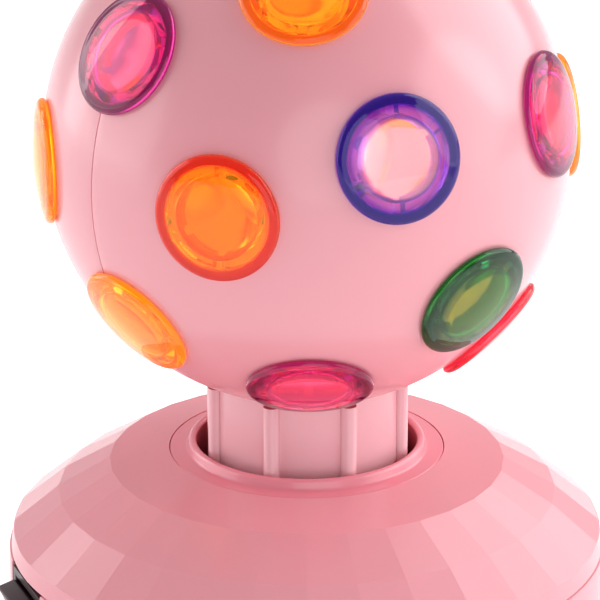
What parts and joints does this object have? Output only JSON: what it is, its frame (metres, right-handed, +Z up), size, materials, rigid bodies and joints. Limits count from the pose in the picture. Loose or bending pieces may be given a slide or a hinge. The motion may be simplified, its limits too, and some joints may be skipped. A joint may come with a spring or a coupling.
{
  "type": "rotating disco ball lamp",
  "caption": "Free-standing party lamp: a hollow ball with coloured lenses turns on a ribbed drum above a round base with a rocker switch.",
  "frame": {"origin": "on the table, on the axis that the ball turns about", "axes": "+Z up along the ball's axis, -Y toward the front, +X to the right as seen from the front"},
  "size_m": [0.1644, 0.1639, 0.2149],
  "materials": {
    "pink_plastic": "glossy moulded pink plastic",
    "white_plastic": "satin natural white plastic",
    "black_plastic": "satin black plastic",
    "rubber": "matt black rubber",
    "steel": "zinc-plated steel",
    "brass": "bright turned brass",
    "bulb_glass": "clear blown glass",
    "lens_magenta": "clear magenta plastic",
    "lens_amber": "clear amber plastic",
    "lens_orange": "clear orange plastic",
    "lens_red_orange": "clear red-orange plastic",
    "lens_violet": "clear violet plastic",
    "lens_green": "clear green plastic",
    "lens_red": "clear red plastic",
    "lens_crimson": "clear crimson plastic"
  },
  "bodies": {
    "base": {"lower_housing": "pink_plastic", "top_cover": "pink_plastic", "collar_ring": "pink_plastic", "bearing_tower": "white_plastic", "bearing_ring": "white_plastic", "cord_gland": "black_plastic", "foot_1": "rubber", "foot_2": "rubber", "foot_3": "rubber", "foot_4": "rubber", "cover_screw_1": "steel", "cover_screw_2": "steel", "cover_screw_3": "steel", "cover_screw_4": "steel", "tower_screw_1": "steel", "tower_screw_2": "steel", "tower_screw_3": "steel", "terminal_block": "white_plastic", "drive_motor": "steel", "motor_screw_1": "steel", "motor_screw_2": "steel", "lamp_pipe": "brass", "pipe_nut_upper": "brass", "pipe_nut_lower": "brass", "lamp_holder": "white_plastic", "bulb_cap": "brass", "bulb_globe": "bulb_glass", "switch_body": "black_plastic"},
    "ball": {"ball_half_a": "pink_plastic", "ball_half_b": "pink_plastic", "lens_magenta_high_a": "lens_magenta", "lens_magenta_high_b": "lens_magenta", "lens_amber_top_a": "lens_amber", "lens_amber_top_b": "lens_amber", "lens_orange_side_a": "lens_orange", "lens_orange_side_b": "lens_orange", "lens_red_orange_a": "lens_red_orange", "lens_red_orange_b": "lens_red_orange", "lens_violet_a": "lens_violet", "lens_violet_b": "lens_violet", "lens_magenta_side_a": "lens_magenta", "lens_magenta_side_b": "lens_magenta", "lens_orange_low_a": "lens_orange", "lens_orange_low_b": "lens_orange", "lens_green_low_a": "lens_green", "lens_green_low_b": "lens_green", "lens_red_low_a": "lens_red", "lens_red_low_b": "lens_red", "lens_crimson_low_a": "lens_crimson", "lens_crimson_low_b": "lens_crimson", "lens_green_high_a": "lens_green", "lens_green_high_b": "lens_green", "neck_drum": "pink_plastic", "turntable_gear": "white_plastic", "neck_screw_1": "steel", "neck_screw_2": "steel", "neck_screw_3": "steel"},
    "pinion": {"drive_pinion": "white_plastic", "motor_shaft": "steel"},
    "rocker": {"switch_rocker": "black_plastic"}
  },
  "joints": [
    {"name": "ball_spin", "type": "hinge", "parent": "base", "child": "ball", "pos_m": [0, 0, 0], "axis": [0, 0, 1], "continuous": true},
    {"name": "pinion_spin", "type": "hinge", "parent": "base", "child": "pinion", "pos_m": [0.044, 0, 0], "axis": [0, 0, 1], "continuous": true},
    {"name": "rocker_tilt", "type": "hinge", "parent": "base", "child": "rocker", "pos_m": [-0.07471, -0.02719, 0.0193], "axis": [-0.342, 0.9397, 0], "range_deg": [0, 16]}
  ],
  "couplings": [
    {"joint": "pinion_spin", "follows": "ball_spin", "ratio": -4.5}
  ]
}
